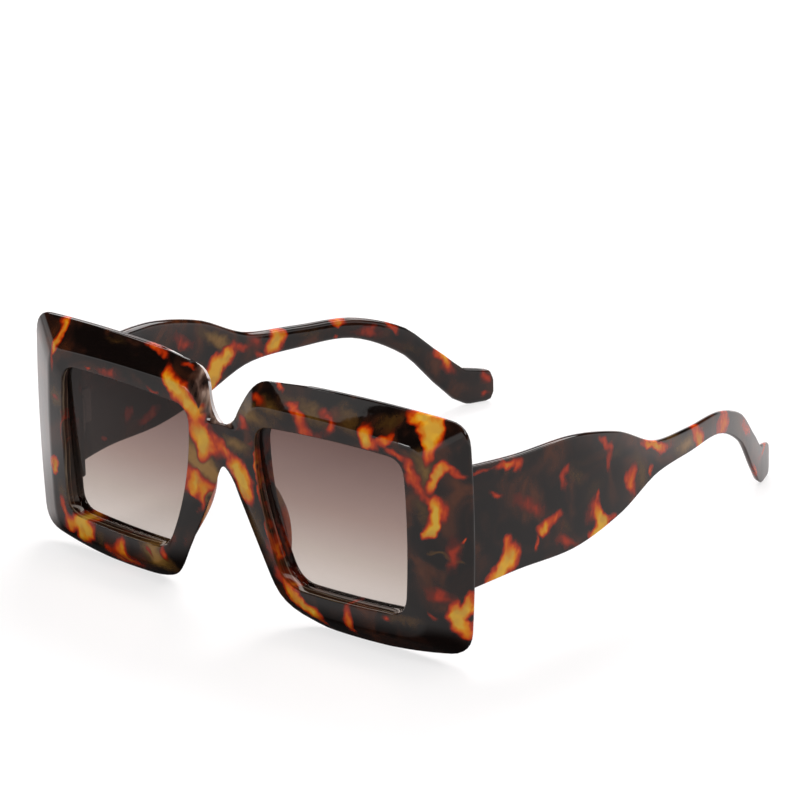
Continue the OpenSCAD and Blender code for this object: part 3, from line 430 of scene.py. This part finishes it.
def steel(name, color, rough):
    """Steel brushed round its upright axis."""
    material, t = new_material(name)
    lines = t.noise(t.mapped(t.place_mm(), Scale=(3.0, 3.0, 40.0)), scale=0.6, detail=4.0, rough=0.7)
    bump = t.add("ShaderNodeBump", {"Strength": 0.12, "Distance": 0.0001, "Height": lines})
    metal = t.add("ShaderNodeBsdfPrincipled", {"Base Color": (*color, 1.0), "Metallic": 1.0,
                                               "Roughness": t.span(lines, 0.3, 0.7, rough, rough + 0.14),
                                               "Normal": bump.outputs[0]})
    return finish_material(material, t, metal)


# Shading of the CAD meshes

WELD_DISTANCE = 2e-6  # joins the points that neighbouring CAD faces share, in metres


def soften(obj, degrees):
    """Smooth shading with crisp edges above an angle, as modifiers: the CAD mesh stays as it is."""
    group = bpy.data.node_groups.get("soft_%d" % degrees)
    if group is None:
        group = bpy.data.node_groups.new("soft_%d" % degrees, "GeometryNodeTree")
        group.interface.new_socket("Geometry", in_out="INPUT", socket_type="NodeSocketGeometry")
        group.interface.new_socket("Geometry", in_out="OUTPUT", socket_type="NodeSocketGeometry")
        t = Tree(group)
        inlet, outlet = group.nodes.new("NodeGroupInput"), group.nodes.new("NodeGroupOutput")
        plain = t.add("GeometryNodeRemoveAttribute", {"Geometry": inlet.outputs[0], "Name": "custom_normal"})
        merged = t.add("GeometryNodeMergeByDistance",
                       {"Geometry": plain.outputs[0], "Distance": WELD_DISTANCE})
        faces = t.add("GeometryNodeSetShadeSmooth", {"Geometry": merged.outputs[0], "Shade Smooth": True},
                      domain="FACE")
        angle = t.add("GeometryNodeInputMeshEdgeAngle").outputs["Unsigned Angle"]
        round_edge = t.add("FunctionNodeCompare", {0: angle, 1: math.radians(degrees)},
                           data_type="FLOAT", operation="LESS_THAN").outputs[0]
        edges = t.add("GeometryNodeSetShadeSmooth",
                      {"Geometry": faces.outputs[0], "Shade Smooth": round_edge}, domain="EDGE")
        group.links.new(edges.outputs[0], outlet.inputs[0])
    obj.modifiers.new("soft", "NODES").node_group = group
    even = obj.modifiers.new("even", "WEIGHTED_NORMAL")
    even.keep_sharp = True
    even.weight = 100


def paint(obj, material):
    obj.data.materials.clear()
    obj.data.materials.append(material)


front_shell = shell("acetate_front", "XZ", FRONT_MARKS, (0.0, 0.0, 0.0), front=True)
pad_shell = shell("acetate_pad", "XZ", PAD_MARKS, (0.0, 0.0, 0.0), veil=0.32)
left_shell = shell("acetate_left", "YZ", LEFT_MARKS, (40.0, 0.0, 90.0))
right_shell = shell("acetate_right", "YZ", RIGHT_MARKS, (90.0, 0.0, 20.0))
lens_glass = tinted_lens()
# The hinges' steel is given a dark colour as painted shade; the screws stay bright
shaded_hinge_steel = steel("hinge_steel_painted_shade", (0.13, 0.125, 0.12), 0.3)
screw_steel = steel("screw_steel_bright", (0.5, 0.49, 0.47), 0.18)

# Each piece's material, and the angle in degrees from which its edges stay crisp
looks = {"front_frame": (front_shell, 50), "lens_left": (lens_glass, 40), "lens_right": (lens_glass, 40),
         "nose_pad_left": (pad_shell, 60), "nose_pad_right": (pad_shell, 60),
         "temple_left": (left_shell, 60), "temple_right": (right_shell, 60),
         "front_hinge_left": (shaded_hinge_steel, 35), "front_hinge_right": (shaded_hinge_steel, 35),
         "temple_hinge_left": (shaded_hinge_steel, 35), "temple_hinge_right": (shaded_hinge_steel, 35),
         "hinge_screw_left": (screw_steel, 35), "hinge_screw_right": (screw_steel, 35)}
for name, (material, degrees) in looks.items():
    paint(nodes[name], material)
    soften(nodes[name], degrees)


# Floor

FLOOR_SIZE, FLOOR_DROP = 12.0, 0.0002   # metres

# The floor in reflections, in mm: its strength, more of it in a patch on the left and in a band behind
# the piece, and less of it near a bar that lies under the front, as a painted shadow of the front
MIRROR_BASE, MIRROR_LEFT = 0.64, 0.62
LEFT_PATCH_X, LEFT_PATCH_Y = (-90.0, -150.0), (-170.0, -90.0)
BACK_BAND = (60.0, 110.0, 0.0, 0.5)
BAR_HALF_WIDTH, BAR_HALF_DEPTH, BAR_Y = 66.0, 4.0, -74.0
BAR_SHADE = (4.0, 24.0, 0.03, 1.0)

LIFT_REACH = (350.0, 1100.0, 0.7, 1.0)  # the floor's own light, from near the piece to far away


def floor_material():
    """White floor that takes the shadow, with a light of its own and another look in reflections."""
    material, t = new_material("white_floor")
    path = t.add("ShaderNodeLightPath").outputs
    spot = t.split(t.scaled(t.add("ShaderNodeNewGeometry").outputs["Position"], MM))
    aside = t.larger(t.minus(t.math("ABSOLUTE", spot[0]), BAR_HALF_WIDTH), 0.0)
    ahead = t.larger(t.minus(t.math("ABSOLUTE", t.minus(spot[1], BAR_Y)), BAR_HALF_DEPTH), 0.0)
    away = t.math("SQRT", t.plus(t.times(aside, aside), t.times(ahead, ahead)))
    left = t.times(t.span(spot[0], *LEFT_PATCH_X), t.span(spot[1], *LEFT_PATCH_Y))
    bright = t.plus(t.plus(MIRROR_BASE, t.times(left, MIRROR_LEFT)), t.span(spot[1], *BACK_BAND))
    # Painted shadow: in reflections the floor dims near the bar under the front
    bright = t.times(bright, t.span(away, *BAR_SHADE))
    mirrored = t.add("ShaderNodeEmission", {"Color": (1.0, 0.955, 0.95, 1.0), "Strength": bright})
    # Seen directly it has a light of its own, full far away where no lamp reaches
    seen = t.larger(path["Is Camera Ray"], path["Is Transmission Ray"])
    wide = t.math("SQRT", t.plus(t.times(spot[0], spot[0]), t.times(spot[1], spot[1])))
    matt = t.add("ShaderNodeBsdfDiffuse", {"Color": (0.3, 0.29, 0.291, 1.0)})
    lift = t.add("ShaderNodeEmission", {"Color": (1.0, 0.996, 0.995, 1.0),
                                        "Strength": t.times(seen, t.span(wide, *LIFT_REACH))})
    lit = t.add("ShaderNodeAddShader", {0: matt.outputs[0], 1: lift.outputs[0]})
    return finish_material(material, t, t.blend(path["Is Glossy Ray"], lit, mirrored))


bpy.ops.mesh.primitive_plane_add(size=FLOOR_SIZE, location=(0.0, 0.0, -FLOOR_DROP))
floor = bpy.context.object
floor.name = "studio_floor"
paint(floor, floor_material())


# Studio light

# Across is the direction's x over its distance ahead, up is its z
SWEEP_AHEAD, SWEEP_BEHIND = (0.12, 0.2, 0.9, 0.0), (0.2, 0.28, 0.9, 0.0)
TORN_ACROSS, TORN_UP = 0.35, 0.12  # how ragged the soft panel's borders are

# Lights ahead of the piece: start, end and soft border across, the same up, and the strength
SOFT_PANEL = ((-1.56, -0.95, 0.02), (0.575, 0.8, 0.01), 0.8)
LOW_STRIP = ((-0.56, -0.34, 0.05), (0.18, 0.34, 0.04), 9.0)
HIGH_STRIP = ((-4.5, -1.7, 0.3), (0.63, 0.74, 0.02), 6.0)

# A light behind it, all the way across: its lower border, and its upper one with the strength
BACK_STRIP_LOW, BACK_STRIP_HIGH = (0.52, 0.56), (0.68, 0.72, 5.0, 0.0)
LEAST_LIGHT = 0.015


def studio_world():
    """A white sweep round the horizon, dark above it, with a soft panel and three bright strips."""
    world = bpy.data.worlds.new("studio")
    bpy.context.scene.world = world
    world.use_nodes = True
    t = Tree(world.node_tree)
    aim = t.add("ShaderNodeTexCoord").outputs["Generated"]
    way = t.split(aim)
    side = t.math("DIVIDE", way[0], t.times(way[1], -1.0))
    ahead = t.math("LESS_THAN", way[1], 0.0)
    behind = t.minus(1.0, ahead)
    torn = t.split(t.centred(t.noise(aim, scale=9.0, detail=4.0, rough=0.6, output="Color")))
    side_torn = t.plus(side, t.times(torn[0], TORN_ACROSS))
    up_torn = t.plus(way[2], t.times(torn[1], TORN_UP))

    def within(value, start, end, border):
        return t.times(t.span(value, start, start + border), t.span(value, end - border, end, 1.0, 0.0))

    def window(across, up, limits):
        """A light ahead of the piece, where both values are within their limits."""
        across_limits, up_limits, strength = limits
        both = t.times(within(across, *across_limits), within(up, *up_limits))
        return t.times(t.times(both, ahead), strength)

    sweep = t.larger(t.times(t.span(way[2], *SWEEP_AHEAD), ahead),
                     t.times(t.span(way[2], *SWEEP_BEHIND), behind))
    panel = window(side_torn, up_torn, SOFT_PANEL)
    low_strip = window(side, way[2], LOW_STRIP)
    high_strip = window(side, way[2], HIGH_STRIP)
    back_strip = t.times(t.times(t.span(way[2], *BACK_STRIP_LOW), t.span(way[2], *BACK_STRIP_HIGH)), behind)
    light = t.larger(t.larger(sweep, panel), t.larger(low_strip, high_strip))
    light = t.larger(t.larger(light, back_strip), LEAST_LIGHT)
    sky = t.add("ShaderNodeBackground", {"Color": (1.0, 0.985, 0.98, 1.0), "Strength": light})
    t.add("ShaderNodeOutputWorld", {"Surface": sky.outputs[0]})


def lamp(name, place, target, size, power):
    """An area lamp aimed at a target. It isn't seen in reflections, where the world's lights are."""
    data = bpy.data.lights.new(name, "AREA")
    data.shape = "RECTANGLE"
    data.size, data.size_y = size
    data.energy = power
    lamp_object = bpy.data.objects.new(name, data)
    bpy.context.scene.collection.objects.link(lamp_object)
    lamp_object.location = place
    lamp_object.rotation_mode = "QUATERNION"
    lamp_object.rotation_quaternion = (Vector(target) - Vector(place)).to_track_quat("-Z", "Y")
    lamp_object.visible_glossy = False


studio_world()
lamp("overhead", (-0.1, 0.1, 1.2), (0.0, 0.0, 0.0), (1.7, 1.7), 11.0)
lamp("front_fill", (0.7, -1.0, 0.5), (0.0, 0.0, 0.03), (0.9, 0.7), 6.0)
lamp("back_key", (-0.45, 0.7, 0.9), (0.0, 0.0, 0.0), (0.35, 0.35), 6.0)


# Camera, fitted to the photograph: its place, its three axes and its lens

CAMERA_PLACE = (0.697068, -0.800791, 0.406733)
CAMERA_RIGHT = (0.753421, 0.657216, -0.020605)
CAMERA_UP = (-0.203588, 0.262958, 0.943083)
CAMERA_BACK = (0.625227, -0.706343, 0.33192)
CAMERA_LENS, SENSOR_WIDTH = 192.97, 36.0  # mm
CLIP_START, CLIP_END = 0.05, 20.0         # metres

camera_data = bpy.data.cameras.new("photo_camera")
camera = bpy.data.objects.new("photo_camera", camera_data)
bpy.context.scene.collection.objects.link(camera)
camera_data.lens = CAMERA_LENS
camera_data.sensor_width = SENSOR_WIDTH
camera_data.clip_start, camera_data.clip_end = CLIP_START, CLIP_END
camera_axes = Matrix((CAMERA_RIGHT, CAMERA_UP, CAMERA_BACK)).transposed()
camera.matrix_world = Matrix.Translation(CAMERA_PLACE) @ camera_axes.to_4x4()

scene = bpy.context.scene
scene.camera = camera
scene.view_settings.view_transform = "Standard"
